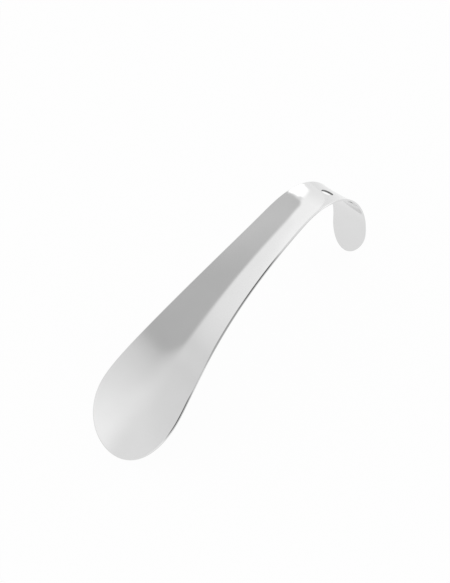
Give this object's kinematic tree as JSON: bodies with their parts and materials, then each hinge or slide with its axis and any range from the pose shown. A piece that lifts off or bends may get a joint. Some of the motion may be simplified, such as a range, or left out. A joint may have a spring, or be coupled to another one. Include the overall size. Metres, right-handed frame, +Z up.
{
  "type": "shoehorn",
  "caption": "Short shoehorn pressed from polished sheet steel: a rounded, troughed blade tapers into a bowed handle and a hooked end with a hanging hole.",
  "frame": {"origin": "under the middle of the bounding box, on the ground that the blade's tip and the hook's end stand on", "axes": "+X runs from the blade to the hook, +Y across the strip, +Z up, with the open side of the trough upwards"},
  "size_m": [0.15, 0.0376, 0.0515],
  "materials": {
    "polished_steel": "polished, with soft reflections"
  },
  "bodies": {
    "root": {"shoehorn": "polished_steel"}
  },
  "joints": []
}
